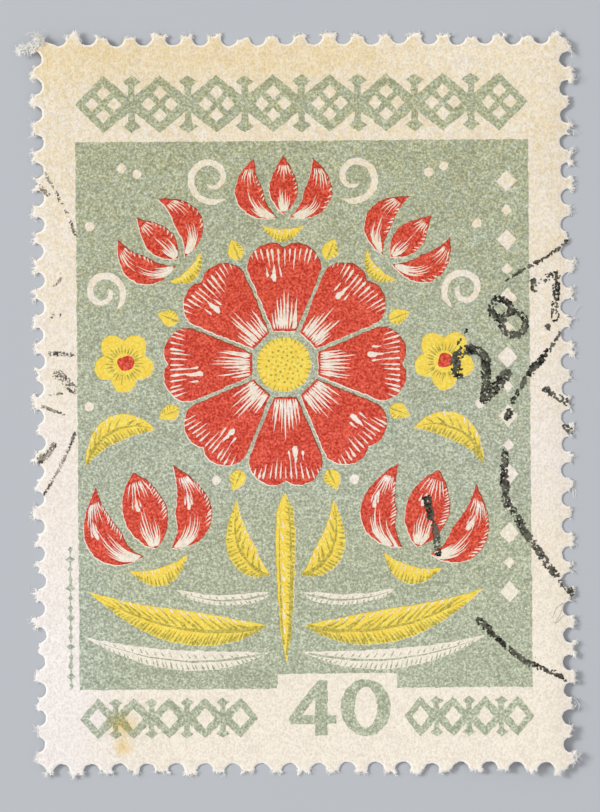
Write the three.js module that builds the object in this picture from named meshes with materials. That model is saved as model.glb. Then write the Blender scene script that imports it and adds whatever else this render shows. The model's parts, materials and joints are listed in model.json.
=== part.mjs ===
// A used postage stamp that lies face up: one perforated sheet of paper and the ink films printed on it.
// Millimetres. +X runs along the stamp's width, +Y up its picture and +Z up from the face it rests on.
import * as THREE from "three";

// The paper. A perforation gauge is the number of holes in 20 mm.
const PAPER_THICKNESS = 0.1;
const ROWS_WIDTH = 27.78; // between the centre lines of the left and right rows of holes
const ROWS_HEIGHT = 38.3; // between the centre lines of the top and bottom rows
const GAUGE_LENGTH = 20;
const ACROSS = { count: 18, pitch: GAUGE_LENGTH / 13.5, radius: 0.44, tear: 0.05, ragged: 0.14 };
const UPRIGHT = { count: 26, pitch: GAUGE_LENGTH / 14, radius: 0.41, tear: 0.12, ragged: 0.18 };
const ROW_SLIPS = { bottom: -0.04, right: 0, top: 0.05, left: -0.12 }; // anticlockwise along each side
const HOLE_WANDER = 0.05; // how far a hole may sit from its even place
const FRAY = 0.05; // how far the torn end of one tooth varies along its width
const HOLE_STEPS = 6;
const TEAR_STEPS = 2;

// The print, placed on the sheet by its panel's centre.
const INK_THICKNESS = 0.02;
const PRINT_CENTRE = [0.04, -0.56];
const PRINT_TILT = 0.2; // degrees, from a slip between the press and the perforator
const PANEL_WIDTH = 23.6;
const PANEL_HEIGHT = 28.55;
const NOTCH = { left: -1.5, right: 4.75, depth: 0.77 }; // in the panel's lower edge, for the numeral
const TRAP = 0.05; // bare paper left between two inks

// The picture: a flower tree, mirrored about its stem, so most motifs are given once for the right side.
const STEM_X = -1;
const ROSE = { y: 2.6, petals: 8, eye: 1.42, root: 1.72, shoulder: 4.85, tip: 6.1, gap: 0.24 };
const TULIP_CLEARANCE = 0.78; // from a petal's notch to a tulip's root
const FLORET = { x: 7.35, y: 2.8, radius: 1.6 };
const BUD = { x: 5.5, y: -8.1, lean: -16 };
const BERRIES = [[6.6, 12.6], [7.4, 12.9], [9.1, 9.9], [9.2, 0.5], [2.6, -3.4]];
const ORNAMENT_COLUMN = { x: 10.65, top: 12.1, pitch: 1.53, count: 15 };

// The bands of ornament, and the numeral.
const HEADER = { y: 16.24, height: 3, bar: 0.34 };
const HEADER_RUN = { start: -PANEL_WIDTH / 2, length: PANEL_WIDTH, lozenges: 8 };
const FOOTER = { y: -15.78, height: 2.1, bar: 0.27 };
const FOOTER_RUNS = {
  left: { start: -PANEL_WIDTH / 2, length: 9.3, lozenges: 5 },
  right: { start: 5.1, length: 6.75, lozenges: 4 },
};
const FRAME_BARS = 2.9; // how much of a lozenge's height its frame takes, in bars
const LATTICE_BAR = 1 / 1.4; // the bar between a lozenge's four cells
const SPEAR = { foot: 0.3, neck: 0.62, barb: 0.78, spread: 0.32 }; // shares of a band's half height
const NUMERAL = { y: -15.3, height: 2.9, left: -0.85, advance: 2.65 };
const FOUR = {
  heel: 1.3, stem: 1.95, arm: 2.4, // across, from its left point
  under: 0.62, over: 1.06, // the crossbar's lower and upper edges
  tip: 1.5, point: 1.02, // where the slope starts at the top, and where it ends on the left
  opening: { left: 0.62, top: 2 },
};
const ZERO = { width: 2.6, overshoot: 0.06, bowl: 1.2, bowlShorter: 0.74 };
const MARGIN_LINE = { x: -12.25, top: -6.7, bottom: -14.3, beads: 15 };
const BEAD = { waist: 0.035, small: 0.13, large: 0.24, half: 0.17, everyThird: 3 };

const PAPER = new THREE.MeshStandardMaterial({ color: 0xece0cc, roughness: 0.92, metalness: 0 });
const SAGE = new THREE.MeshStandardMaterial({ color: 0xaeb196, roughness: 0.8, metalness: 0 });
const RED = new THREE.MeshStandardMaterial({ color: 0xd3523f, roughness: 0.75, metalness: 0 });
const YELLOW = new THREE.MeshStandardMaterial({ color: 0xf0d35c, roughness: 0.75, metalness: 0 });

const at = (x, y) => new THREE.Vector2(x, y);
const radians = THREE.MathUtils.degToRad;
const lerp = THREE.MathUtils.lerp;

// A repeatable run of numbers from 0 to 1.
function sequence(seed) {
  let state = seed;
  return () => {
    state = (state * 1664525 + 1013904223) % 4294967296;
    return state / 4294967296;
  };
}

// Points on a circle's arc, both ends included. Angles are in radians.
function arc(centre, radius, from, to, steps) {
  return Array.from({ length: steps + 1 }, (_, step) => {
    const angle = lerp(from, to, step / steps);
    return at(centre.x + radius * Math.cos(angle), centre.y + radius * Math.sin(angle));
  });
}

// ---- The sheet's outline ----

// One side's holes and the teeth between them, each torn at its own height above the holes' centre line.
// x runs along the side and y points out of the stamp.
function perforatedSide({ count, pitch, radius, tear, ragged }, slip, random) {
  const either = (size) => size * (2 * random() - 1);
  const first = slip - ((count - 1) * pitch) / 2;
  const teeth = Array.from({ length: count + 1 }, () => tear + either(ragged / 2) + either(ragged / 2));
  const points = [];
  for (let hole = 0; hole < count; hole += 1) {
    const place = first + hole * pitch;
    const centre = at(place + either(HOLE_WANDER), either(HOLE_WANDER));
    const reach = (tooth) => Math.asin((teeth[tooth] + either(FRAY) - centre.y) / radius);
    points.push(...arc(centre, radius, Math.PI - reach(hole), 2 * Math.PI + reach(hole + 1), HOLE_STEPS));
    for (let step = 1; step <= TEAR_STEPS && hole < count - 1; step += 1) {
      const along = lerp(radius, pitch - radius, (step - 0.35 - 0.3 * random()) / TEAR_STEPS);
      points.push(at(place + along, teeth[hole + 1] + either(FRAY)));
    }
  }
  return points;
}

// What is left at each corner, from the corner where the two rows' centre lines cross, anticlockwise.
const CORNERS = {
  bottomRight: [at(-0.84, -0.15), at(-0.7, -0.2), at(-0.54, -0.12), at(-0.34, 0.01), at(-0.07, 0.32),
    at(0.13, 0.53), at(0.14, 0.77)],
  topRight: [at(0.1, -0.75), at(0.05, -0.41), at(-0.22, -0.11), at(-0.51, 0.08), at(-0.8, 0.1)],
  topLeft: [at(0.7, -0.27), at(0.48, -0.26), at(0.38, 0.07), at(0.12, 0.09), at(0.02, -0.25),
    at(-0.1, -0.62)],
  bottomLeft: [at(-0.1, 0.9), at(-0.05, 0.6), ...arc(at(0, 0.04), 0.4, radians(80), radians(-18), 4),
    at(0.46, -0.17), at(0.62, -0.14), at(0.78, -0.1)],
};
const TOP_LEFT_LOSS = 2; // points of the last hole's arc that were torn off with the top left corner

function sheetOutline() {
  const random = sequence(7);
  const halfWidth = ROWS_WIDTH / 2;
  const halfHeight = ROWS_HEIGHT / 2;
  const corner = (name, x, y) => CORNERS[name].map((p) => at(p.x + x, p.y + y));
  // The numbers that shape the sides are drawn in this order.
  const bottom = perforatedSide(ACROSS, ROW_SLIPS.bottom, random);
  const right = perforatedSide(UPRIGHT, ROW_SLIPS.right, random);
  const top = perforatedSide(ACROSS, ROW_SLIPS.top, random).slice(0, -TOP_LEFT_LOSS);
  const left = perforatedSide(UPRIGHT, ROW_SLIPS.left, random);
  return [
    ...bottom.map((p) => at(p.x, -halfHeight - p.y)),
    ...corner("bottomRight", halfWidth, -halfHeight),
    ...right.map((p) => at(halfWidth + p.y, p.x)),
    ...corner("topRight", halfWidth, halfHeight),
    ...top.map((p) => at(-p.x, halfHeight + p.y)),
    ...corner("topLeft", -halfWidth, halfHeight),
    ...left.map((p) => at(-halfWidth - p.y, -p.x)),
    ...corner("bottomLeft", -halfWidth, -halfHeight),
  ];
}

// ---- Outlines that the print is drawn with, all anticlockwise ----

// A quadratic curve from root to tip, bowed towards a third point.
const bow = (root, towards, tip) => new THREE.QuadraticBezierCurve(root, towards, tip);

// A closed outline round a curve, as wide as halfWidth says at each share of its length.
function blade(curve, halfWidth, steps) {
  const side = (sign) =>
    Array.from({ length: steps - 1 }, (_, index) => {
      const share = (index + 1) / steps;
      const tangent = curve.getTangent(share);
      const offset = sign * halfWidth(share);
      return curve.getPoint(share).add(at(tangent.y * offset, -tangent.x * offset));
    });
  return [curve.getPoint(0), ...side(1), curve.getPoint(1), ...side(-1).reverse()];
}

// Half widths: a leaf is pointed at both ends, a petal has a blunt tip, and a stroke thins to its end.
const swell = (share, fullest) => Math.sin(Math.PI * share ** (Math.log(0.5) / Math.log(fullest)));
const leafWidth = (width, fullest = 0.45) => (share) => (width / 2) * swell(share, fullest);
const petalWidth = (width, fullest = 0.68) => (share) => (width / 2) * swell(share, fullest) ** 0.72;
const strokeWidth = (width) => (share) => (width / 2) * Math.sin(Math.PI * share ** 0.6) ** 0.5;

const lozenge = (x, y, width, height) => [
  at(x + width / 2, y), at(x, y + height / 2), at(x - width / 2, y), at(x, y - height / 2),
];
const disc = (x, y, radius, steps) => arc(at(x, y), radius, 0, 2 * Math.PI * (1 - 1 / steps), steps - 1);

// A round flower with shallow lobes.
const floret = (x, y, radius, lobes, depth) =>
  Array.from({ length: lobes * 6 }, (_, step) => {
    const angle = (2 * Math.PI * step) / (lobes * 6);
    const reach = radius * (1 - depth * (1 - Math.abs(Math.sin((lobes * angle) / 2))));
    return at(x + reach * Math.sin(angle), y + reach * Math.cos(angle));
  }).reverse();

// The outline moved outwards by a distance, along the normal at each point.
function grown(outline, distance) {
  return outline.map((here, index) => {
    const before = outline[(index + outline.length - 1) % outline.length];
    const after = outline[(index + 1) % outline.length];
    const along = after.clone().sub(before).normalize();
    return at(here.x + along.y * distance, here.y - along.x * distance);
  });
}

// The outline turned about the origin, then moved.
const placed = (outline, x, y, degrees) =>
  outline.map((p) => p.clone().rotateAround(at(0, 0), radians(degrees)).add(at(x, y)));

const mirrored = (outline) => outline.map((p) => at(2 * STEM_X - p.x, p.y)).reverse();

// ---- The picture's motifs ----

// Each motif is { name, outline, ink }, and one without ink is bare paper.
const motifs = [];

function motif(name, ink, outline) {
  motifs.push({ name, ink, outline });
}

function pair(name, ink, outline) {
  motif(`${name}_right`, ink, outline);
  motif(`${name}_left`, ink, mirrored(outline));
}

// A petal that fills its share of the rose between two straight gaps, with a notch in its broad end.
function rosePetal() {
  const { petals, root, shoulder, tip, gap } = ROSE;
  const edge = (reach) => at(reach * Math.tan(Math.PI / petals) - gap / 2, reach);
  const lobe = new THREE.CubicBezierCurve(edge(shoulder), at(2.15, 5.85), at(0.75, 6.75), at(0, tip));
  const right = [edge(root), ...lobe.getPoints(7)];
  const left = right.slice(0, -1).map((p) => at(-p.x, p.y)).reverse();
  return [...right, ...left];
}

function rose() {
  motif("rose_eye", YELLOW, disc(STEM_X, ROSE.y, ROSE.eye, 20));
  const sepal = blade(bow(at(0, 5.9), at(0, 6.4), at(0, 7.1)), leafWidth(0.85), 5);
  const step = 360 / ROSE.petals;
  for (let index = 0; index < ROSE.petals; index += 1) {
    motif(`rose_petal_${index + 1}`, RED, placed(rosePetal(), STEM_X, ROSE.y, step * index));
    motif(`rose_sepal_${index + 1}`, YELLOW, placed(sepal, STEM_X, ROSE.y, step * (index + 0.5)));
  }
}

// A tulip of a middle petal, two side petals and a cup, drawn upright from the origin.
function tulip() {
  const side = blade(bow(at(0.32, 0.75), at(2.6, 1.5), at(1.5, 3.9)), leafWidth(1.45, 0.5), 9);
  return {
    middle: blade(bow(at(0, 0.95), at(0, 2), at(0, 4)), leafWidth(1.5, 0.5), 9),
    side,
    other: side.map((p) => at(-p.x, p.y)).reverse(),
    cup: blade(bow(at(-1.1, 0.42), at(0, -0.7), at(1.1, 0.42)), leafWidth(0.66, 0.5), 8),
  };
}

function tulips() {
  const { middle, side, other, cup } = tulip();
  const reach = ROSE.tip + TULIP_CLEARANCE;
  const top = (outline) => placed(outline, STEM_X, ROSE.y + reach, 0);
  motif("top_tulip_middle", RED, top(middle));
  motif("top_tulip_petal_right", RED, top(side));
  motif("top_tulip_petal_left", RED, top(other));
  motif("top_tulip_cup", YELLOW, top(cup));
  const lean = -45;
  const root = at(0, reach).rotateAround(at(0, 0), radians(lean)).add(at(STEM_X, ROSE.y));
  const leaning = (outline) => placed(outline, root.x, root.y, lean);
  pair("tulip_middle", RED, leaning(middle));
  pair("tulip_outer", RED, leaning(side));
  pair("tulip_inner", RED, leaning(other));
  pair("tulip_cup", YELLOW, leaning(cup));
}

// A five-petalled flower beside the rose, with a red centre.
function florets() {
  pair("floret", YELLOW, floret(FLORET.x, FLORET.y, FLORET.radius, 5, 0.3));
}

// Berries of bare paper scattered between the larger motifs.
function berries() {
  BERRIES.forEach(([x, y], index) => pair(`berry_${index + 1}`, null, disc(x, y, 0.2, 8)));
}

// The large bud low on each side: a broad middle petal between two side petals, over a cup.
function buds() {
  const stand = (outline) => placed(outline, BUD.x, BUD.y, BUD.lean);
  const petal = blade(bow(at(0, 1.15), at(0, 3), at(0, 5.3)), petalWidth(2.3, 0.5), 10);
  const side = blade(bow(at(0.75, 0.95), at(3.4, 1.6), at(2.1, 5.1)), leafWidth(1.9, 0.5), 9);
  const cup = blade(bow(at(-1.6, 0.5), at(0, -1.1), at(1.6, 0.5)), leafWidth(0.95, 0.5), 8);
  pair("bud_middle", RED, stand(petal));
  pair("bud_outer", RED, stand(side));
  pair("bud_inner", RED, stand(side.map((p) => at(-p.x, p.y)).reverse()));
  pair("bud_cup", YELLOW, stand(cup));
}

function stemsAndLeaves() {
  const stem = bow(at(STEM_X, -4.05), at(STEM_X, -8), at(STEM_X, -12.9));
  const upperLeaf = bow(at(-0.2, -8.4), at(2, -7.6), at(1.5, -4.4));
  const budStem = bow(at(-0.25, -9.3), at(2.6, -10.1), at(4.7, -9.1));
  const lowerLeaf = bow(at(-0.1, -11), at(4.6, -11.95), at(9.3, -9.15));
  const baseLeaf = bow(at(-0.1, -12.4), at(4.8, -13.5), at(9.4, -11.55));
  const sideLeaf = bow(at(5.7, -0.75), at(8.4, 0.2), at(9.4, -2.7));
  motif("stem", YELLOW, blade(stem, strokeWidth(1), 8));
  pair("upper_leaf", YELLOW, blade(upperLeaf, leafWidth(1.45), 8));
  pair("bud_stem", null, blade(budStem, strokeWidth(0.46), 7));
  pair("lower_leaf", YELLOW, blade(lowerLeaf, leafWidth(1.75), 9));
  pair("base_leaf", null, blade(baseLeaf, leafWidth(0.95), 9));
  pair("side_leaf", YELLOW, blade(sideLeaf, leafWidth(1.4), 8));
}

// A tendril that curls in from its root, as bare paper.
class Spiral extends THREE.Curve {
  constructor(centre, radius, from, turns) {
    super();
    Object.assign(this, { centre, radius, from, turns });
  }

  getPoint(share, target = new THREE.Vector2()) {
    const reach = this.radius * (1 - 0.72 * share);
    const angle = radians(this.from + 360 * this.turns * share);
    return target.set(this.centre.x + reach * Math.cos(angle), this.centre.y + reach * Math.sin(angle));
  }
}

function tendrils() {
  const thread = (curve) => blade(curve, strokeWidth(0.26), 15);
  pair("top_tendril", null, thread(new Spiral(at(2.75, 12.35), 1.3, 235, 1.2)));
  pair("shoulder_tendril", null, thread(new Spiral(at(8.4, 6.45), 1.12, 235, -1.25)));
}

function ornamentColumn() {
  const { x, top, pitch, count } = ORNAMENT_COLUMN;
  for (let index = 0; index < count; index += 1) {
    const y = top - index * pitch;
    const size = index % 2 ? 0.5 : 0.95;
    motif(`column_ornament_${index + 1}`, null, lozenge(x, y, size, size * 1.1));
  }
}

// ---- Shapes and meshes ----

const shapeOf = (outline, holes = []) => {
  const shape = new THREE.Shape(outline);
  shape.holes = holes.map((hole) => new THREE.Path(hole));
  return shape;
};

function slab(name, material, shape, thickness, height) {
  const geometry = new THREE.ExtrudeGeometry(shape, { depth: thickness, bevelEnabled: false });
  const mesh = new THREE.Mesh(geometry, material);
  mesh.name = name;
  mesh.position.z = height;
  return mesh;
}

const film = (name, ink, shape) => slab(name, ink, shape, INK_THICKNESS, PAPER_THICKNESS);

function panelOutline() {
  const right = PANEL_WIDTH / 2;
  const top = PANEL_HEIGHT / 2;
  return [
    at(-right, -top), at(NOTCH.left, -top), at(NOTCH.left, NOTCH.depth - top),
    at(NOTCH.right, NOTCH.depth - top), at(NOTCH.right, -top), at(right, -top), at(right, top),
    at(-right, top),
  ];
}

// A lozenge's opening, which is the share inner of it, as four cells between a lattice's bars.
function latticeCells(x, y, width, height, inner, bar) {
  const cell = inner / 2 - (LATTICE_BAR * bar) / height;
  const shift = inner / 4 + bar / height / 4;
  const ways = [[-1, 0], [1, 0], [0, -1], [0, 1]];
  return ways.map(([across, up]) =>
    lozenge(x + across * shift * width, y + up * shift * height, cell * width, cell * height));
}

// A chain of lozenges with a spear between each two, and openings in them.
function lozengeBand({ start, length, lozenges }, { y, height, bar }, lattice) {
  const width = length / lozenges;
  const tall = height / 2;
  const { foot, neck, barb, spread } = SPEAR;
  const halfSpear = [at(bar / 2, foot), at(bar / 2, neck), at(spread * tall, barb)];
  const spear = [...halfSpear.map((p) => at(-p.x, p.y)), at(0, 1), ...halfSpear.toReversed()];
  const edge = (sign) =>
    Array.from({ length: lozenges }, (_, index) => {
      const x = start + width * (sign > 0 ? index + 0.5 : lozenges - index - 0.5);
      const link = index < lozenges - 1 ? spear : [];
      const between = x + (sign * width) / 2;
      const linked = link.map((p) => at(between + sign * p.x, y - sign * p.y * tall));
      return [at(x, y - sign * tall), ...linked];
    }).flat();
  const inner = 1 - (FRAME_BARS * bar) / height;
  const openings = Array.from({ length: lozenges }, (_, index) => {
    const x = start + width * (index + 0.5);
    return lattice
      ? latticeCells(x, y, width, height, inner, bar)
      : [lozenge(x, y, width * (inner - 0.1), height * (inner - 0.1))];
  }).flat();
  return shapeOf([...edge(1), at(start + length, y), ...edge(-1), at(start, y)], openings);
}

// A thick-and-thin numeral 4 whose foot is at (left, foot).
function numeralFour(left, foot, height) {
  const { heel, stem, arm, under, over, tip, point, opening } = FOUR;
  const outline = [
    at(heel, 0), at(stem, 0), at(stem, under), at(arm, under), at(arm, over), at(stem, over),
    at(stem, height), at(tip, height), at(0, point), at(0, under), at(heel, under),
  ];
  const inside = [at(opening.left, over), at(heel, over), at(heel, opening.top)];
  const set = (points) => points.map((p) => at(left + p.x, foot + p.y));
  return shapeOf(set(outline), [set(inside)]);
}

// A thick-and-thin numeral 0 whose left side is at left and whose middle is at y.
function numeralZero(left, y, height) {
  const oval = (width, tall, steps) =>
    disc(0, 0, 0.5, steps).map((p) => at(left + ZERO.width / 2 + p.x * width, y + p.y * tall));
  const bowl = oval(ZERO.bowl, height - ZERO.bowlShorter, 20);
  return shapeOf(oval(ZERO.width, height + ZERO.overshoot, 26), [bowl]);
}

// A line down the margin that swells into beads, of which every third is large.
function marginLine() {
  const { x, top, bottom, beads } = MARGIN_LINE;
  const { waist, small, large, half, everyThird } = BEAD;
  const pitch = (top - bottom) / beads;
  const edge = (sign) =>
    Array.from({ length: beads }, (_, index) => {
      const y = sign > 0 ? bottom + pitch * (index + 0.5) : top - pitch * (index + 0.5);
      const reach = index % everyThird === 1 ? large : small;
      const side = x + sign * waist;
      return [at(side, y - sign * half), at(x + sign * reach, y), at(side, y + sign * half)];
    }).flat();
  return shapeOf([...edge(1), ...edge(-1)]);
}

function print() {
  rose();
  tulips();
  florets();
  berries();
  buds();
  stemsAndLeaves();
  tendrils();
  ornamentColumn();
  const group = new THREE.Group();
  group.position.set(...PRINT_CENTRE, 0);
  group.rotation.z = radians(PRINT_TILT);
  const openings = motifs.map(({ outline }) => grown(outline, TRAP));
  group.add(film("sage_panel", SAGE, shapeOf(panelOutline(), openings)));
  for (const { name, ink, outline } of motifs.filter((each) => each.ink)) {
    group.add(film(name, ink, shapeOf(outline)));
  }
  group.add(film("header_band", SAGE, lozengeBand(HEADER_RUN, HEADER, true)));
  group.add(film("footer_band_left", SAGE, lozengeBand(FOOTER_RUNS.left, FOOTER, false)));
  group.add(film("footer_band_right", SAGE, lozengeBand(FOOTER_RUNS.right, FOOTER, false)));
  const { y, height, left, advance } = NUMERAL;
  group.add(film("numeral_four", SAGE, numeralFour(left, y - height / 2, height)));
  group.add(film("numeral_zero", SAGE, numeralZero(left + advance, y, height)));
  group.add(film("margin_bead_line", SAGE, marginLine()));
  return group;
}

const stamp = new THREE.Group();
stamp.add(slab("paper_sheet", PAPER, shapeOf(sheetOutline()), PAPER_THICKNESS, 0));
stamp.add(print());

// The origin is under the middle of the sheet's outline, torn teeth included.
const middle = new THREE.Box3().setFromObject(stamp).getCenter(new THREE.Vector3());
stamp.children.forEach((child) => {
  child.position.x -= middle.x;
  child.position.y -= middle.y;
});

export default stamp;
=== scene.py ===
"""A used, perforated postage stamp that lies face up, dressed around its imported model.

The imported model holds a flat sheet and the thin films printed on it. This script draws the sheet again
with torn, hairy teeth and corners that lift a little, and prints it again as three plates, sage, yellow
and red, with cut strokes and a slipped register. One triangulation tells which inks cover each spot.
Lengths are millimetres in the frame's axes until a mesh is made.
"""
import json
import math
import random
from functools import partial

import bmesh
import bpy
from mathutils import Matrix, Vector, noise
from mathutils.geometry import delaunay_2d_cdt
from mathutils.kdtree import KDTree


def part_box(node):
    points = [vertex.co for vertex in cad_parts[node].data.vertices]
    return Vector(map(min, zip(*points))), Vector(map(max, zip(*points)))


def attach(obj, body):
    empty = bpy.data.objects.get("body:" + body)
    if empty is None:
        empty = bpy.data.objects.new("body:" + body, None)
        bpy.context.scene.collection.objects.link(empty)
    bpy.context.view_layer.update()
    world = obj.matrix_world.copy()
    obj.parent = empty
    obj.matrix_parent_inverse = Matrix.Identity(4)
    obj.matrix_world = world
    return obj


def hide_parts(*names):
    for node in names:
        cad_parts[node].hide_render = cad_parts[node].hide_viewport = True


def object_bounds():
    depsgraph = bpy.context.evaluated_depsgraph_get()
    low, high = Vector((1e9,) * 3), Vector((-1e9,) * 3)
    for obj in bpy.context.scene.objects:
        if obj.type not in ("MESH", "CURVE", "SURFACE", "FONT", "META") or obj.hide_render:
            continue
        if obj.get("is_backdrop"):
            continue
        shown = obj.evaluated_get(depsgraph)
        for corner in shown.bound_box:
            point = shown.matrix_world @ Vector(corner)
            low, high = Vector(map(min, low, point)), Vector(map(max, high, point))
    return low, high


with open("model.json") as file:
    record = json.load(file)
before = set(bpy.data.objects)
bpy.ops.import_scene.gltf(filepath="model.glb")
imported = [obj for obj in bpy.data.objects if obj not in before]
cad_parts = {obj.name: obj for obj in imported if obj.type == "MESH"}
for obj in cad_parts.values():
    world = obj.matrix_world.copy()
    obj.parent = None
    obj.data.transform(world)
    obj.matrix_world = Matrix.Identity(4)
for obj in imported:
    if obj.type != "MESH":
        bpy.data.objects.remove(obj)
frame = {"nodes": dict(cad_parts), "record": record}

MM = 0.001
CAD_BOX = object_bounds()
SHEET_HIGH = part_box("paper_sheet")[1] / MM
HALF_WIDTH = SHEET_HIGH.x
HALF_HEIGHT = SHEET_HIGH.y
PAPER_TOP = SHEET_HIGH.z

# From the centre line of a row of holes outward: the furthest torn end, where the tearing starts, and over
# what distance it comes to its full strength.
TOOTH_REACH = 0.27
TORN_FROM = -0.09
TORN_OVER = 0.17

# How high the printed films and the postmark stand over the paper, and how far they reach into it.
INK_TOP = 0.01
POSTMARK_TOP = 0.018
INK_ROOT = -0.004

REGISTER = {"sage": (0.0, 0.0), "yellow": (-0.03, 0.02), "red": (0.045, 0.05)}  # how each plate slipped

# Corners that lift off the surface: the side in x and in y, the lift, and how far in it reaches.
LIFTED_CORNERS = [(-1, 1, 0.3, 12), (1, 1, 0.2, 10), (-1, -1, 0.16, 9), (1, -1, 0.34, 13)]

WELD = 0.0002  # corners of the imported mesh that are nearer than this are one
SMOOTH_BELOW = 35  # degrees between two faces that still shade as one surface
RIM = "rim"  # the attribute that tells a material where a piece's edge is
SLOTS = {part["node"]: part["material_slot"] for part in frame["record"]["subparts"]}

# The pieces that the print is joined into.
GROUND = "picture_ground"
SAGE_PIECES = {
    "sage_panel": GROUND,
    "header_band": "header_print",
    "footer_band_left": "footer_print",
    "footer_band_right": "footer_print",
    "numeral_four": "numeral_print",
    "numeral_zero": "numeral_print",
    "margin_bead_line": "margin_line_print",
}
RED_PRINT = "red_print"
YELLOW_PRINT = "yellow_print"
RED_OVER_SAGE = "red_overprint"
YELLOW_OVER_SAGE = "olive_overprint"
COLOURS = {"red_ink": ("red", RED_PRINT), "yellow_ink": ("yellow", YELLOW_PRINT)}

# An opening of the ground this near a coloured motif's middle is that motif's own. Of the others, one that
# is wider than this is a leaf of bare paper.
SAME_PLACE = 0.2
BARE_LEAF_WIDTH = 4

NO_INK = -1  # less than any amount of ink that shows

chance = random.Random(20)
uniform = chance.uniform
gauss = chance.gauss


def lift(x, y):
    """How far the paper lifts at a place."""
    height = 0.0
    for side_x, side_y, most, reach in LIFTED_CORNERS:
        away = math.hypot(x - side_x * HALF_WIDTH, y - side_y * HALF_HEIGHT)
        share = max(0.0, 1 - away / reach)
        height += most * share * share * (3 - 2 * share)
    return height


# ---- Outlines ----


def top_loops(node):
    """The loops round a flat node's top face, the outer one first, with the material on their left."""
    mesh = bmesh.new()
    mesh.from_mesh(frame["nodes"][node].data)
    bmesh.ops.remove_doubles(mesh, verts=mesh.verts, dist=WELD * MM)
    ways = {
        (corner.vert.index, corner.link_loop_next.vert.index)
        for face in mesh.faces
        if face.normal.z > 0.5
        for corner in face.loops
    }
    onward = {start: end for start, end in sorted(ways) if (end, start) not in ways}
    mesh.verts.ensure_lookup_table()
    loops = []
    while onward:
        start, here = next(iter(onward.items()))
        del onward[start]
        loop = [start]
        while here != start:
            loop.append(here)
            here = onward.pop(here)
        loops.append([mesh.verts[index].co.xy / MM for index in loop])
    mesh.free()
    return sorted(loops, key=lambda loop: -abs(area(loop)))


def pointing(angle):
    """A step of length 1 at an angle in radians."""
    return Vector((math.cos(angle), math.sin(angle)))


def area(loop):
    """The loop's area, positive where it runs anticlockwise."""
    return sum(a.cross(b) for a, b in zip(loop, loop[1:] + loop[:1])) / 2


def middle(loop):
    """The centre of the loop's box."""
    xs = [p.x for p in loop]
    ys = [p.y for p in loop]
    return Vector(((min(xs) + max(xs)) / 2, (min(ys) + max(ys)) / 2))


def smoothed(loop, step, corner=50):
    """A curve through the points, one every step, that keeps turns sharper than corner degrees."""
    count = len(loop)
    slopes = []
    for index, here in enumerate(loop):
        before = here - loop[index - 1]
        after = loop[(index + 1) % count] - here
        sharp = before.angle(after, 0.0) > math.radians(corner)
        slopes.append(None if sharp else (before + after).normalized())
    points = []
    for index, here in enumerate(loop):
        there = loop[(index + 1) % count]
        chord = there - here
        leave, arrive = (
            chord if slope is None else slope * chord.length
            for slope in (slopes[index], slopes[(index + 1) % count])
        )
        pieces = max(1, round(chord.length / step))
        for piece in range(pieces):
            t = piece / pieces
            curve = here * (2 * t**3 - 3 * t**2 + 1) + there * (3 * t**2 - 2 * t**3)
            points.append(curve + leave * (t**3 - 2 * t**2 + t) + arrive * (t**3 - t**2))
    return points


def wobble(p, size, seed):
    """Smooth noise from about -0.5 to 0.5 that changes over a distance of size."""
    return noise.noise(Vector((p.x / size, p.y / size, seed)))


def pushed(loop, distance):
    """The loop with each point moved to its right, out of the material, by distance(point)."""
    moved = []
    for index, here in enumerate(loop):
        along = (loop[(index + 1) % len(loop)] - loop[index - 1]).normalized()
        moved.append(here + Vector((along.y, -along.x)) * distance(here))
    return moved


def printed(loop):
    """The loop as ink prints it: smooth, with a small waver along its edge."""
    return pushed(smoothed(loop, step=0.12), lambda p: 0.055 * wobble(p, size=0.16, seed=2.5))


# ---- Places inside a motif ----


def leaf_map(loop, hub):
    """A function from (s, t) to a place in a motif whose ends are its furthest points.

    s runs from its end near the hub to its other end, and t from -1 on its left edge to 1 on its right.
    """
    pairs = ((a, b) for index, a in enumerate(loop) for b in loop[index + 1 :])
    root, tip = max(pairs, key=lambda pair: (pair[0] - pair[1]).length)
    if (tip - hub).length < (root - hub).length:
        root, tip = tip, root
    start = loop.index(root)
    turned = loop[start:] + loop[:start]
    split = turned.index(tip)
    right = turned[: split + 1]
    left = (turned[split:] + [root])[::-1]

    def along(chain, s):
        place = min(max(s, 0.0), 1.0) * (len(chain) - 1)
        index = min(int(place), len(chain) - 2)
        return chain[index].lerp(chain[index + 1], place - index)

    return lambda s, t: along(left, s).lerp(along(right, s), (t + 1) / 2)


def wedge_map(loop, hub):
    """The same for a petal that fills a wedge about the hub."""
    axis = (middle(loop) - hub).normalized()
    side = Vector((axis.y, -axis.x))
    reaches = [(p - hub).dot(axis) for p in loop]
    near, far = min(reaches), max(reaches)
    slope = max(abs((p - hub).dot(side)) / reach for p, reach in zip(loop, reaches))

    def place(s, t):
        reach = near + (far - near) * s
        return hub + axis * reach + side * (t * slope * reach)

    return place


def course(place, start, end, bend=0.0, steps=7):
    """Points from one (s, t) of a motif to another, bowed sideways in t."""
    points = []
    for step in range(steps + 1):
        share = step / steps
        s = start[0] + (end[0] - start[0]) * share
        t = start[1] + (end[1] - start[1]) * share + bend * math.sin(math.pi * share)
        points.append(place(s, t))
    return points


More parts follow.
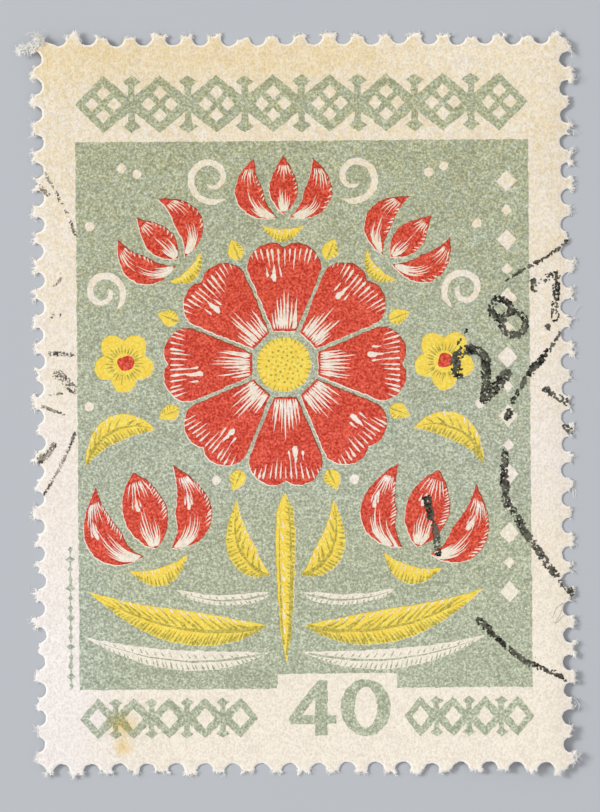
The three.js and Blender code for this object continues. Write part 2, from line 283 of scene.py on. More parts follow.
def stroke(path, width, blunt=0.35):
    """The outline of a cut stroke along a path, uneven, which thins from a blunt start to a point."""
    growth = 6  # how fast it comes to its full width
    taper = 0.7  # below 1 it stays full until near its point
    roughness = 0.9
    last = len(path) - 1
    sides = [[], []]
    for index, here in enumerate(path):
        along = (path[min(index + 1, last)] - path[max(index - 1, 0)]).normalized()
        across = Vector((along.y, -along.x))
        share = index / last
        half = width / 2 * min(1.0, blunt + share * growth * (1 - blunt)) * (1 - share) ** taper
        for side, sign in zip(sides, (1, -1)):
            waver = 1 + roughness * wobble(here + across * sign, size=0.2, seed=7.1)
            side.append(here + across * (sign * half * waver))
    return sides[0] + sides[1][-2::-1]


def spot(centre, radius, steps=10):
    points = []
    for step in range(steps):
        arm = pointing(2 * math.pi * step / steps)
        waver = 1 + 0.5 * wobble(centre + arm * 0.2, size=0.25, seed=4.2)
        points.append(centre + arm * (radius * waver))
    return points


def lit_from_above(place):
    """The same places, but t = 1 is always on the lower edge."""
    if place(0.5, 1).y < place(0.5, -1).y:
        return place
    return lambda s, t: place(s, -t)


# ---- The print's three plates ----

# Each mark is (plate, piece, outline). A later mark covers an earlier one of its plate, and one with no
# piece is cut out of the plate.
marks = []


def mark(plate, piece, outline):
    slip = Vector(REGISTER[plate])
    marks.append((plate, piece, [p + slip for p in outline]))


cut_red = partial(mark, "red", None)
cut_yellow = partial(mark, "yellow", None)
ink_sage = partial(mark, "sage", GROUND)


def uneven(width):
    return width * uniform(0.7, 1.25)


def fan(place, ink, count, spread, start, reach, width, lean=0.85):
    """Strokes side by side over the spread of t, the outer ones shorter.

    Each one's t is lean times as large at its end.
    """
    jitter = 0.35
    outer_loss = 0.4
    for index in range(count):
        t = spread * ((2 * index + 1) / count - 1 + uniform(-jitter, jitter) / count)
        far = start + reach * (1 - outer_loss * (t / spread) ** 2) * uniform(0.65, 1.15)
        ink(stroke(course(place, (start, t), (far, t * lean)), uneven(width)))


def hatch(place, ink, count, along, across, width, slant=0.06):
    """Short strokes, one after another in s over along, and each in t over across."""
    first, last = along
    inner, outer = across
    for index in range(count):
        s = first + (last - first) * (index + uniform(0.3, 0.7)) / count
        far = inner + (outer - inner) * uniform(0.7, 1.05)
        ink(stroke(course(place, (s, inner), (s + slant, far), steps=5), uneven(width)))


def highlight(place, s, t, length, width):
    """A light drop cut out of a red petal, with a flick on each side."""
    cut_red(stroke(course(place, (s, t), (s + length, t * 0.9)), width, blunt=0.5))
    for side in (-1, 1):
        start = (s + 0.25 * length, t + side * 0.2)
        cut_red(stroke(course(place, start, (s + 0.85 * length, t + side * 0.17)), width * 0.4))


def rose_petal_cuts(place):
    fan(place, cut_red, 9, spread=0.78, start=0.03, reach=0.42, width=0.17)
    fan(place, cut_red, 15, spread=0.93, start=0.93, reach=-0.24, width=0.13, lean=0.97)
    highlight(place, s=0.56, t=-0.28, length=0.2, width=0.34)


def flower_petal_cuts(place, size):
    """size is 1 for a tulip's petal and 2 for a bud's."""
    fan(place, cut_red, 4 + 2 * size, spread=0.72, start=0.05, reach=0.5, width=0.14, lean=0.7)
    fan(place, cut_red, 3 + 2 * size, spread=0.7, start=0.84, reach=-0.28, width=0.1, lean=1.1)
    hatch(place, cut_red, 6 * size, (0.38, 0.8), (0.97, 0.62), width=0.1, slant=-0.05)
    if size > 1:
        highlight(place, s=0.5, t=-0.3, length=0.18, width=0.26)


def leaf_cuts(place, length):
    """A midrib, veins and shading in the overprint, and a few bare flicks."""
    veins = round(length * 1.5)
    midrib = course(place, (0.02, 0.05), (0.97, 0), bend=0.06, steps=12)
    ink_sage(stroke(midrib, width=0.22, blunt=0.8))
    hatch(place, ink_sage, veins, (0.08, 0.8), (-0.02, -0.85), width=0.16, slant=0.1)
    hatch(place, ink_sage, veins * 3, (0.05, 0.9), (0.98, 0.12), width=0.17, slant=-0.03)
    hatch(place, cut_yellow, veins, (0.14, 0.84), (-0.95, -0.45), width=0.1, slant=-0.04)


def cup_cuts(place, length):
    """Shading that runs up a cup from its keel."""
    hatch(place, ink_sage, round(length * 5), (0.12, 0.9), (1, -0.35), width=0.17, slant=0)
    hatch(place, cut_yellow, round(length * 2), (0.25, 0.8), (-0.9, 0.1), width=0.09, slant=0)


def stem_cuts(place):
    """Two long ribs, shading beside one and bare flicks beside the other."""
    wide_rib = course(place, (0.04, 0.55), (0.97, 0.35), bend=0.15, steps=14)
    fine_rib = course(place, (0.1, -0.75), (0.92, -0.6), steps=14)
    ink_sage(stroke(wide_rib, width=0.26, blunt=0.8))
    ink_sage(stroke(fine_rib, width=0.12, blunt=0.8))
    hatch(place, ink_sage, 38, (0.03, 0.95), (0.95, -0.1), width=0.17, slant=0.02)
    hatch(place, cut_yellow, 9, (0.12, 0.8), (-0.15, -0.5), width=0.13, slant=0.06)


def bare_leaf_cuts(place, length):
    """Fine shading on a leaf of bare paper."""
    midrib = course(place, (0.03, 0), (0.96, 0), bend=0.08, steps=12)
    ink_sage(stroke(midrib, width=0.13, blunt=0.7))
    hatch(place, ink_sage, round(length * 3.4), (0.06, 0.92), (0.95, 0.2), width=0.1, slant=0.015)
    hatch(place, ink_sage, round(length * 1.8), (0.1, 0.85), (-0.2, -0.75), width=0.08, slant=0.02)


def sepal_cuts(place):
    """A midrib, and a few strokes on its lower side."""
    ink_sage(stroke(course(place, (0.05, 0), (0.9, 0)), width=0.12, blunt=0.7))
    hatch(place, ink_sage, 5, (0.2, 0.75), (0.95, 0.25), width=0.09)


def spoke(centre, turn, start, reach, width):
    """A straight stroke out from near a centre, or in towards it where reach is negative."""
    steps = 4
    path = [centre + pointing(turn) * (start + reach * step / steps) for step in range(steps + 1)]
    ink_sage(stroke(path, width))


def eye_cuts(centre, radius):
    """Seeds in turning rows, and a rim of short strokes."""
    golden_angle = math.pi * (3 - math.sqrt(5))
    seeds = 46
    strokes = 34
    for index in range(seeds):
        reach = radius * 0.7 * math.sqrt((index + 0.5) / seeds)
        seed = centre + pointing(index * golden_angle) * reach
        ink_sage(spot(seed, radius=0.055 + 0.02 * chance.random(), steps=7))
    for index in range(strokes):
        turn = 2 * math.pi * (index + uniform(-0.25, 0.25)) / strokes
        inner_end = radius * uniform(0.74, 0.84)
        spoke(centre, turn, radius, inner_end - radius, width=0.1)


def floret_cuts(centre, radius):
    """A red centre, and strokes from it into the petals."""
    strokes = 30
    mark("red", RED_PRINT, spot(centre, radius * 0.24, steps=16))
    for index in range(strokes):
        turn = 2 * math.pi * (index + uniform(-0.3, 0.3)) / strokes
        spoke(centre, turn, radius * 0.33, radius * uniform(0.18, 0.36), width=0.12)


def sage_shapes():
    """The ground with its openings, and the bands, numeral and bead line."""
    inked = [middle(top_loops(node)[0]) for node, slot in SLOTS.items() if slot in COLOURS]
    foot = Vector((middle(top_loops("stem")[0]).x, -HALF_HEIGHT))
    for node, piece in SAGE_PIECES.items():
        outer, *openings = top_loops(node)
        mark("sage", piece, printed(outer))
        for opening in openings:
            loop = opening[::-1]
            if any((middle(loop) - place).length < SAME_PLACE for place in inked):
                continue
            shape = printed(loop)
            mark("sage", None, shape)
            width = max(p.x for p in loop) - min(p.x for p in loop)
            if piece == GROUND and width > BARE_LEAF_WIDTH:
                bare_leaf_cuts(lit_from_above(leaf_map(shape, foot)), width)


def coloured_shapes():
    """The red and yellow motifs, each with what is cut into it."""
    loops = {node: top_loops(node)[0] for node, slot in SLOTS.items() if slot in COLOURS}
    centres = {node: middle(loop) for node, loop in loops.items()}
    rose = centres["rose_eye"]
    foot = Vector((rose.x, -HALF_HEIGHT))
    cups = [centres[node] for node in loops if "cup" in node]
    for node, loop in loops.items():
        plate, piece = COLOURS[SLOTS[node]]
        shape = printed(loop)
        mark("sage", None, shape)
        mark(plate, piece, shape)
        centre = centres[node]
        radius = max((p - centre).length for p in shape)
        if node == "rose_eye":
            eye_cuts(centre, radius)
        elif node.startswith("floret"):
            floret_cuts(centre, radius)
        elif node.startswith("rose_petal"):
            rose_petal_cuts(wedge_map(shape, rose))
        elif node.startswith("rose_sepal"):
            sepal_cuts(leaf_map(shape, rose))
        elif plate == "red":
            cup = min(cups, key=lambda place: (place - centre).length)
            flower_petal_cuts(leaf_map(shape, cup), 2 if node.startswith("bud") else 1)
        elif node == "stem":
            stem_cuts(leaf_map(shape, foot))
        elif "cup" in node:
            cup_cuts(lit_from_above(leaf_map(shape, foot)), 2 * radius)
        else:
            leaf_cuts(lit_from_above(leaf_map(shape, foot)), 2 * radius)


# ---- From flat outlines to closed sheets ----


def lattice(step):
    """Slightly displaced grid points, so that the sheet and its films bend together."""
    across = math.ceil(HALF_WIDTH / step)
    up = math.ceil(HALF_HEIGHT / step)
    slip = 0.1
    return [
        Vector((i * step + uniform(-slip, slip), j * step + uniform(-slip, slip)))
        for i in range(-across, across + 1)
        for j in range(-up, up + 1)
    ]


def triangulated(outlines, inner):
    """Points, and triangles with the numbers of the outlines that each lies in."""
    whole_hull = 0
    tolerance = 1e-5
    points = list(inner)
    rings = []
    for outline in outlines:
        rings.append(list(range(len(points), len(points) + len(outline))))
        points.extend(outline)
    points, _, faces, _, _, covers = delaunay_2d_cdt(points, [], rings, whole_hull, tolerance, True)
    return points, [(tuple(face), cover) for face, cover in zip(faces, covers) if cover]


class Groups:
    """Keys gathered into groups by joining them two at a time."""

    def __init__(self):
        self.parents = {}

    def find(self, key):
        parent = self.parents.setdefault(key, key)
        while parent != key:
            self.parents[key] = self.parents[parent]
            key = parent
            parent = self.parents[key]
        return key

    def join(self, one, other):
        self.parents[self.find(one)] = self.find(other)


def sides_of(faces):
    """The number of the face that has each directed side."""
    return {way: number for number, face in enumerate(faces) for way in zip(face, face[1:] + face[:1])}


def without_crumbs(points, faces, least):
    """The faces without the islands of less than least square mm."""
    owners = sides_of(faces)
    islands = Groups()
    for (a, b), number in owners.items():
        if (b, a) in owners:
            islands.join(number, owners[b, a])
    sizes = {}
    for number, face in enumerate(faces):
        island = islands.find(number)
        sizes[island] = sizes.get(island, 0) + area([points[index] for index in face])
    return [face for number, face in enumerate(faces) if sizes[islands.find(number)] >= least]


def placed(name, data):
    """A new object in the scene that shows the data."""
    body = bpy.data.objects.new(name, data)
    bpy.context.scene.collection.objects.link(body)
    return body


def new_piece(name, coords, polygons, material, rim=()):
    """A piece that rides on the stamp. Its RIM attribute is 1 at the vertices in rim."""
    mesh = bpy.data.meshes.new(name)
    mesh.from_pydata([co * MM for co in coords], [], polygons)
    attribute = mesh.attributes.new(RIM, "FLOAT", "POINT")
    for index in rim:
        attribute.data[index].value = 1.0
    mesh.shade_smooth()
    mesh.set_sharp_from_angle(angle=math.radians(SMOOTH_BELOW))
    mesh.materials.append(material)
    piece = placed(name, mesh)
    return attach(piece, "root")


def closed_sheet(name, points, faces, levels, material):
    """A closed solid over flat faces.

    Each level, from the top down, is a height and a function that tells how far its rim spreads.
    """
    owners = sides_of(faces)
    # Faces share a corner's vertex only where they meet along a side, so no two parts touch at a point.
    corners = Groups()
    for (a, b), number in owners.items():
        if (b, a) in owners:
            corners.join((number, a), (owners[b, a], a))
            corners.join((number, b), (owners[b, a], b))
    rim = [(number, a, b) for (a, b), number in owners.items() if (b, a) not in owners]
    outward = {}
    for number, a, b in rim:
        along = (points[b] - points[a]).normalized()
        for point in (a, b):
            corner = corners.find((number, point))
            outward[corner] = outward.get(corner, Vector((0, 0))) + Vector((along.y, -along.x))
    coords = []
    on_rim = []
    vertices = {}
    last = len(levels) - 1

    def vertex(level, number, point):
        corner = corners.find((number, point))
        if (level, corner) not in vertices:
            height, spread = levels[level]
            place = points[point]
            if corner in outward:
                way = outward[corner].normalized()
                place = place + way * spread(place, way)
                on_rim.append(len(coords))
            vertices[level, corner] = len(coords)
            coords.append(Vector((place.x, place.y, height + lift(place.x, place.y))))
        return vertices[level, corner]

    polygons = []
    for number, face in enumerate(faces):
        polygons.append([vertex(0, number, point) for point in face])
        polygons.append([vertex(last, number, point) for point in reversed(face)])
    for number, a, b in rim:
        for level in range(last):
            lower = [vertex(level + 1, number, point) for point in (a, b)]
            upper = [vertex(level, number, point) for point in (b, a)]
            polygons.append(lower + upper)
    return new_piece(name, coords, polygons, material, on_rim)


def no_spread(place, way):
    return 0.0


def ink_film(name, points, faces, top, material):
    levels = [(PAPER_TOP + top, no_spread), (PAPER_TOP + INK_ROOT, no_spread)]
    return closed_sheet(name, points, faces, levels, material)


def print_films():
    """One piece for each colour and part of the print."""
    sage_shapes()
    coloured_shapes()
    points, triangles = triangulated([outline for _, _, outline in marks], lattice(step=1.0))
    faces = {}
    for face, cover in triangles:
        printed_here = {}
        for number in sorted(cover):
            plate, piece, _ = marks[number]
            printed_here[plate] = piece
        sage, yellow, red = (printed_here.get(plate) for plate in ("sage", "yellow", "red"))
        piece = sage
        if yellow:
            piece = YELLOW_OVER_SAGE if sage else YELLOW_PRINT
        if red:
            piece = RED_OVER_SAGE if sage else RED_PRINT
        if piece:
            faces.setdefault(piece, []).append(face)
    looks = {
        YELLOW_PRINT: (yellow_ink(), "yellow_ink"),
        YELLOW_OVER_SAGE: (olive_ink(), "yellow_ink"),
        RED_PRINT: (red_ink(), "red_ink"),
        RED_OVER_SAGE: (dark_ink(), "red_ink"),
    }
    sage = (sage_ink(), "sage_ink")
    for piece_name in sorted(faces):
        material, slot = looks.get(piece_name, sage)
        kept = without_crumbs(points, faces[piece_name], least=0.0015)
        piece = ink_film(piece_name, points, kept, INK_TOP, material)
        for node, node_slot in SLOTS.items():
            stands_for = SAGE_PIECES.get(node) or COLOURS.get(node_slot, (None, None))[1]
            if stands_for == piece_name:
                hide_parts(node)


# ---- The sheet and its fibres ----


def tornness(p):
    """0 on a punched arc or inside the sheet, up to 1 at a tooth's torn end."""
    beyond = max(abs(p.x) - HALF_WIDTH, abs(p.y) - HALF_HEIGHT) + TOOTH_REACH
    return min(1.0, max(0.0, (beyond - TORN_FROM) / TORN_OVER))


def sheet_rim():
    """The sheet's outline, ragged at the torn ends and nearly clean on the punched arcs."""

    def waver(p):
        torn = tornness(p)
        fine = (0.025 + 0.13 * torn) * wobble(p, size=0.1, seed=8.0)
        return fine + (0.02 + 0.2 * torn) * wobble(p, size=0.3, seed=5.0)

    return pushed(smoothed(top_loops("paper_sheet")[0], step=0.045, corner=42), waver)


def depth_within(rim):
    """A function that tells how far within the rim a place is, less than 0 outside it."""
    tree = KDTree(len(rim))
    for index, place in enumerate(rim):
        tree.insert(place.to_3d(), index)
    tree.balance()

    def depth(place):
        _, index, away = tree.find(place.to_3d())
        along = rim[(index + 1) % len(rim)] - rim[index - 1]
        return away if along.cross(place - rim[index]) > 0 else -away

    return depth


def paper_sheet(rim, depth, material):
    """The sheet, widest at its middle layer, with its torn ends drawn in above and below."""
    inner_ring = pushed(rim, lambda p: -0.14)[::2]
    inner = [place for place in lattice(step=0.8) + inner_ring if depth(place) > 0.11]
    points, triangles = triangulated([rim], inner)

    def drawn_in(amount):
        """A spread inward by amount(place), and by less where the sheet is narrow."""
        negligible = 0.005

        def spread(place, way):
            reach = amount(place)
            while reach > negligible and depth(place - way * (2.2 * reach)) < 0.3 * reach:
                reach *= 0.7
            return -reach

        return spread

    def upper(p):
        return 0.065 + tornness(p) * (0.01 + 0.05 * wobble(p, size=0.12, seed=1.0))

    def lower(p):
        return 0.01 + tornness(p) * (0.035 + 0.06 * wobble(p, size=0.14, seed=3.0))

    levels = [(PAPER_TOP, drawn_in(upper)), (PAPER_TOP * 0.6, no_spread), (0.0, drawn_in(lower))]
    sheet = closed_sheet("stamp_sheet", points, [face for face, _ in triangles], levels, material)
    # The rim attribute is 1 along every cut edge, where the paper takes a painted highlight, and at least
    # torn_paleness times the tornness elsewhere, for the paler torn fibre.
    torn_paleness = 0.8
    for vertex, pale in zip(sheet.data.vertices, sheet.data.attributes[RIM].data):
        pale.value = max(pale.value, torn_paleness * tornness(vertex.co.xy / MM))
    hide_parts("paper_sheet")


def threads(name, courses, material):
    """Fine threads, each a tube along its course that ends in points."""
    sides = 3
    fullness = 0.4  # below 1 a thread keeps its width until near its ends
    coords = []
    polygons = []
    for path, width in courses:
        rings = []
        last = len(path) - 1
        for index, here in enumerate(path):
            if index in (0, last):
                rings.append([len(coords)] * sides)
                coords.append(here)
                continue
            along = (path[index + 1] - path[index - 1]).normalized()
            across = along.cross(Vector((0, 0, 1))).normalized()
            up = along.cross(across)
            radius = width / 2 * math.sin(math.pi * index / last) ** fullness
            rings.append(list(range(len(coords), len(coords) + sides)))
            for side in range(sides):
                angle = 2 * math.pi * side / sides
                coords.append(here + (across * math.cos(angle) + up * math.sin(angle)) * radius)
        for first, second in zip(rings, rings[1:]):
            for side in range(sides):
                other = (side + 1) % sides
                around = [first[side], first[other], second[other], second[side]]
                polygons.append(list(dict.fromkeys(around)))
    return new_piece(name, coords, polygons, material)


def curl(start, heading, length, height, turn, steps=6):
    """A course that wanders from a place and turns by about turn for each mm."""
    lowest = 0.012
    path = []
    here = start
    for _ in range(steps + 1):
        path.append(Vector((here.x, here.y, max(lowest, height) + lift(here.x, here.y))))
        heading += (turn + gauss(0, 2.2)) * length / steps
        here = here + pointing(heading) * (length / steps)
        height += gauss(0, 0.018)
    return path


def torn_fibres(rim):
    """The nap on the torn ends, and a few fibres on the punched arcs."""
    tries = 3  # at each point of the rim
    on_arcs = 0.03  # the share of tries that leaves a fibre where nothing is torn
    shortest = 0.08
    root = 0.05  # how far inside the rim a fibre starts
    courses = []
    for index, here in enumerate(rim):
        along = rim[(index + 1) % len(rim)] - rim[index - 1]
        outward = math.atan2(-along.x, along.y)
        share = tornness(here)
        for _ in range(tries):
            if chance.random() > on_arcs + (1 - on_arcs) * share:
                continue
            length = shortest + share * min(0.75, chance.expovariate(1 / 0.06))
            heading = outward + gauss(0, 0.8)
            start = here - pointing(heading) * root
            path = curl(start, heading, length, uniform(0.02, 0.1), gauss(0, 8))
            courses.append((path, uniform(0.012, 0.026)))
    return courses


# Fibres in wads: the two ends of the line that they start on, how many, the longest, the way they point
# and its spread in degrees, and how much they curl for each mm.
COARSE_WADS = [
    ((-13.8, 18.72), (-14.7, 18.5), 220, 0.36, 180, 70, 7),
    ((-13.55, 18.75), (-13.75, 19.15), 200, 0.3, 100, 60, 6),
]
FINE_WADS = [
    ((-14.1, 18.65), (-14.7, 18.6), 18, 0.75, 180, 40, 4),
    ((-13.8, 19.15), (-13.75, 19.2), 3, 0.8, 120, 14, 1),
    ((-13.55, 18.95), (-13.45, 18.95), 3, 0.45, 60, 15, 1),
    ((-11.65, 19.2), (-11.6, 19.1), 3, 0.5, -60, 20, -2),
    ((-10.35, 19.15), (-10.25, 19.1), 3, 0.5, -50, 25, -2),
    ((13.85, 18.45), (13.95, 18.35), 2, 0.7, -40, 30, -3),
    ((13.9, 17.1), (14.0, 16.9), 4, 0.7, 20, 50, 5),
    ((13.55, 18.95), (13.85, 18.6), 30, 0.24, 30, 50, 5),
    ((13.9, -18.2), (14.0, -18.4), 5, 1.0, -15, 30, -4),
    ((13.95, -18.3), (14.1, -18.45), 16, 0.5, -10, 70, 7),
    ((13.85, -15.45), (13.9, -15.55), 2, 1.1, -20, 12, -2.2),
    ((13.75, -16.85), (13.8, -16.9), 2, 1.2, -15, 12, -2.2),
    ((13.8, 14.35), (13.9, 14.25), 3, 0.8, 30, 30, -4),
    ((13.9, -12.9), (13.95, -13), 3, 0.5, 0, 50, 6),
    ((-13.85, -16.85), (-13.95, -17.05), 12, 0.4, 190, 50, 5),
    ((-13.85, -18.2), (-13.95, -18.4), 16, 0.3, 200, 50, 5),
    ((13.95, 4.35), (14.0, 4.25), 2, 0.8, 45, 12, 1),
    ((13.85, -4.45), (13.95, -4.35), 2, 1.0, -20, 20, -2),
]


def wads(rows, thickest):
    scatter = 0.07
    courses = []
    for first, last, count, longest, way, spread, curling in rows:
        for _ in range(count):
            start = Vector(first).lerp(Vector(last), chance.random())
            start += Vector((gauss(0, scatter), gauss(0, scatter)))
            heading = math.radians(way + gauss(0, spread))
            turn = gauss(0.5, 1) * curling
            length = longest * uniform(0.4, 1)
            path = curl(start, heading, length, uniform(0.03, 0.16), turn, steps=10)
            courses.append((path, thickest * uniform(0.5, 1)))
    return courses


def stray_hair():
    """One hair that lies in a loop on the right margin."""
    height = PAPER_TOP + 0.02
    width = 0.018
    bends = [(12.98, -11.55), (12.93, -11.2), (13.1, -10.75), (13.45, -10.45), (13.5, -10.6), (13.3, -11.1),
             (13.05, -11.5), (13.2, -11.45), (13.5, -11.1), (13.8, -10.95)]
    return [([Vector((x, y, height + lift(x, y))) for x, y in bends], width)]


# ---- The postmark ----


def arc_path(x, y, radius, start, end, steps=24):
    """Points on a circle's arc, in degrees."""
    angles = [math.radians(start + (end - start) * step / steps) for step in range(steps + 1)]
    return [(x + radius * math.cos(angle), y + radius * math.sin(angle)) for angle in angles]


# Each digit's strokes, 1 high.
DIGITS = {
    2: [arc_path(0.32, 0.68, 0.31, 170, -35, 12) + [(0, 0), (0.66, 0.02)]],
    7: [[(0, 0.85), (0.04, 1), (0.62, 0.98), (0.2, 0)]],
    8: [arc_path(0.32, 0.27, 0.28, 60, 420), arc_path(0.34, 0.76, 0.22, -80, 250)],
}


def digit(number, x, y, height, turn, width, strength):
    """A digit's strokes, its foot at (x, y), turned by an angle in degrees."""
    turned = Matrix.Rotation(math.radians(turn), 2) * height
    foot = Vector((x, y))
    return [([foot + turned @ Vector(point) for point in points], width, strength)
            for points in DIGITS[number]]


# Each stroke is its points, its width and how well it took, from 0 to 1.
POSTMARK = [
    ([(14.2, 8.7), (12.9, 7.7), (10.6, 6.4)], 0.2, 0.62),
    *digit(7, 12.7, 4.2, 2.2, 20, 0.4, 0.1),
    *digit(8, 10.9, 3.2, 2.2, 44, 0.4, 0.58),
    *digit(2, 9.5, 0.2, 2.6, 48, 0.56, 0.72),
    ([(12.75, 3.95), (12.8, 3.9)], 0.34, 1),
    ([(8.6, 3.85), (8.3, 3.5), (8.05, 3)], 0.15, 0.5),
    ([(13.4, 3.6), (12.8, 2.7)], 0.2, 0.4),
    ([(12.85, 2.75), (12.7, 2.6)], 0.34, 1),
    ([(12.6, 2.45), (11.8, 1.5)], 0.42, 0.95),
    ([(11.6, 1.25), (11.3, 0.7), (10.9, 0.1)], 0.32, 0.6),
    ([(10.75, -0.45), (10.6, -0.75)], 0.4, 0.65),
    ([(12.6, 0.7), (13.2, 0.35), (14, -0.15)], 0.34, 0.4),
    ([(13.7, -1.3), (13.9, -1.5)], 0.4, 0.25),
    ([(10.5, -2.7), (10.45, -4), (10.6, -5.3)], 0.46, 0.75),
    ([(10.9, -5.6), (11.5, -6.7), (12.3, -7.9)], 0.44, 0.8),
    ([(12.4, -8), (13.1, -9), (14, -10)], 0.42, 0.5),
    ([(6.4, -5), (6.6, -5.9)], 0.46, 0.8),
    ([(6.8, -6.3), (7, -7.8)], 0.4, 0.55),
    ([(9.1, -11.35), (9.45, -11.7), (9.75, -12.05)], 0.42, 0.75),
    ([(9.95, -12.2), (10.6, -12.8), (11.2, -13.3), (11.7, -13.55)], 0.34, 0.75),
    ([(11.9, -13.6), (12.5, -13.9), (13.3, -14.25)], 0.3, 0.75),
    ([(13.4, -14.35), (14, -14.85)], 0.22, 0.35),
]
FAINT_MARKS = [
    (arc_path(-26.4, 3.8, 15.4, 33, 19), 0.14, -0.1),
    (arc_path(-26.4, 3.8, 15.4, -20, -33.5), 0.15, 0.55),
    ([(-13.7, 11.4), (-13.2, 10.9)], 0.24, 0.1),
    ([(-13.1, 6), (-12.6, 6.6)], 0.12, 0.4),
    ([(-13.2, 4.6), (-12.7, 4.7)], 0.2, 0.1),
    ([(-13.2, 2.7), (-12.1, 2.6)], 0.24, 0.1),
    ([(-12.8, 1.6), (-12, 0.8)], 0.5, 0.15),
    ([(-13.4, 0.53), (-12.6, 0.58)], 0.11, 0.6),
    ([(-13.8, 0), (-13.3, -0.2), (-12.5, -0.55)], 0.12, 0.4),
    ([(-13.8, -2.9), (-13.35, -2.6), (-13.05, -2.1)], 0.34, 0.75),
]


def took(p, points, width, strength):
    """How much ink one stroke left at a place, which is less than 0 past its edge."""
    softness = 0.09
    weakest = 0.25
    away = math.inf
    for a, b in zip(points, points[1:]):
        share = min(1.0, max(0.0, (p - a).dot(b - a) / (b - a).length_squared))
        away = min(away, (p - a.lerp(b, share)).length)
    return min(weakest + (1 - weakest) * strength, (width / 2 - away) / softness)


def ink_amounts(strokes, depth, grain_size, cell):
    """How much of a rubber stamp's ink took on rough paper, at places cell apart."""
    margin = 0.1
    amounts = {}
    for points, width, strength in strokes:
        points = [Vector(point) for point in points]
        reach = width / 2 + margin
        low = [math.floor((min(p[axis] for p in points) - reach) / cell) for axis in (0, 1)]
        high = [math.ceil((max(p[axis] for p in points) + reach) / cell) for axis in (0, 1)]
        for i in range(low[0], high[0] + 1):
            for j in range(low[1], high[1] + 1):
                place = Vector((i, j)) * cell
                amount = took(place, points, width, strength)
                if amount > NO_INK and depth(place) > 0:
                    grain = 1.3 * wobble(place, grain_size, seed=1.0)
                    grain += 0.8 * wobble(place, grain_size / 2, seed=6.0)
                    grain += 0.9 * wobble(place, size=0.45, seed=3.0)
                    amounts[i, j] = max(amounts.get((i, j), NO_INK), amount + grain)
    return amounts


def inked_cells(strokes, depth, grain_size, cell=0.03, least=0.34):
    """Points and faces over where the ink is more than least, cut out along even cells."""
    amounts = ink_amounts(strokes, depth, grain_size, cell)
    points = []
    numbers = {}

    def numbered(key, place):
        if key not in numbers:
            numbers[key] = len(points)
            points.append(place * cell)
        return numbers[key]

    faces = []
    for i, j in sorted(amounts):
        corners = [(i, j), (i + 1, j), (i + 1, j + 1), (i, j + 1)]
        face = []
        for corner, following in zip(corners, corners[1:] + corners[:1]):
            here = amounts.get(corner, NO_INK) - least
            there = amounts.get(following, NO_INK) - least
            if here > 0:
                face.append(numbered(corner, Vector(corner)))
            if (here > 0) != (there > 0):
                key = tuple(sorted((corner, following)))
                cut = Vector(corner).lerp(Vector(following), here / (here - there))
                face.append(numbered(key, cut))
        if len(face) > 2:
            faces.append(tuple(face))
    return points, faces


def postmark(depth):
    """The black postmark, and the faint ends of one at the left."""
    points, faces = inked_cells(POSTMARK, depth, grain_size=0.14)
    ink_film("postmark", points, without_crumbs(points, faces, 0.004), POSTMARK_TOP, postmark_ink())
    points, faces = inked_cells(FAINT_MARKS, depth, grain_size=0.09)
    ink_film("faint_postmark", points, without_crumbs(points, faces, 0.001), POSTMARK_TOP, faint_ink())


# ---- Materials ----


def srgb(red, green, blue):
    """A colour given in 0 to 255 as a shader takes it."""
    shares = [value / 255 for value in (red, green, blue)]
    linear = [share / 12.92 if share <= 0.04045 else ((share + 0.055) / 1.055) ** 2.4 for share in shares]
    return linear + [1]


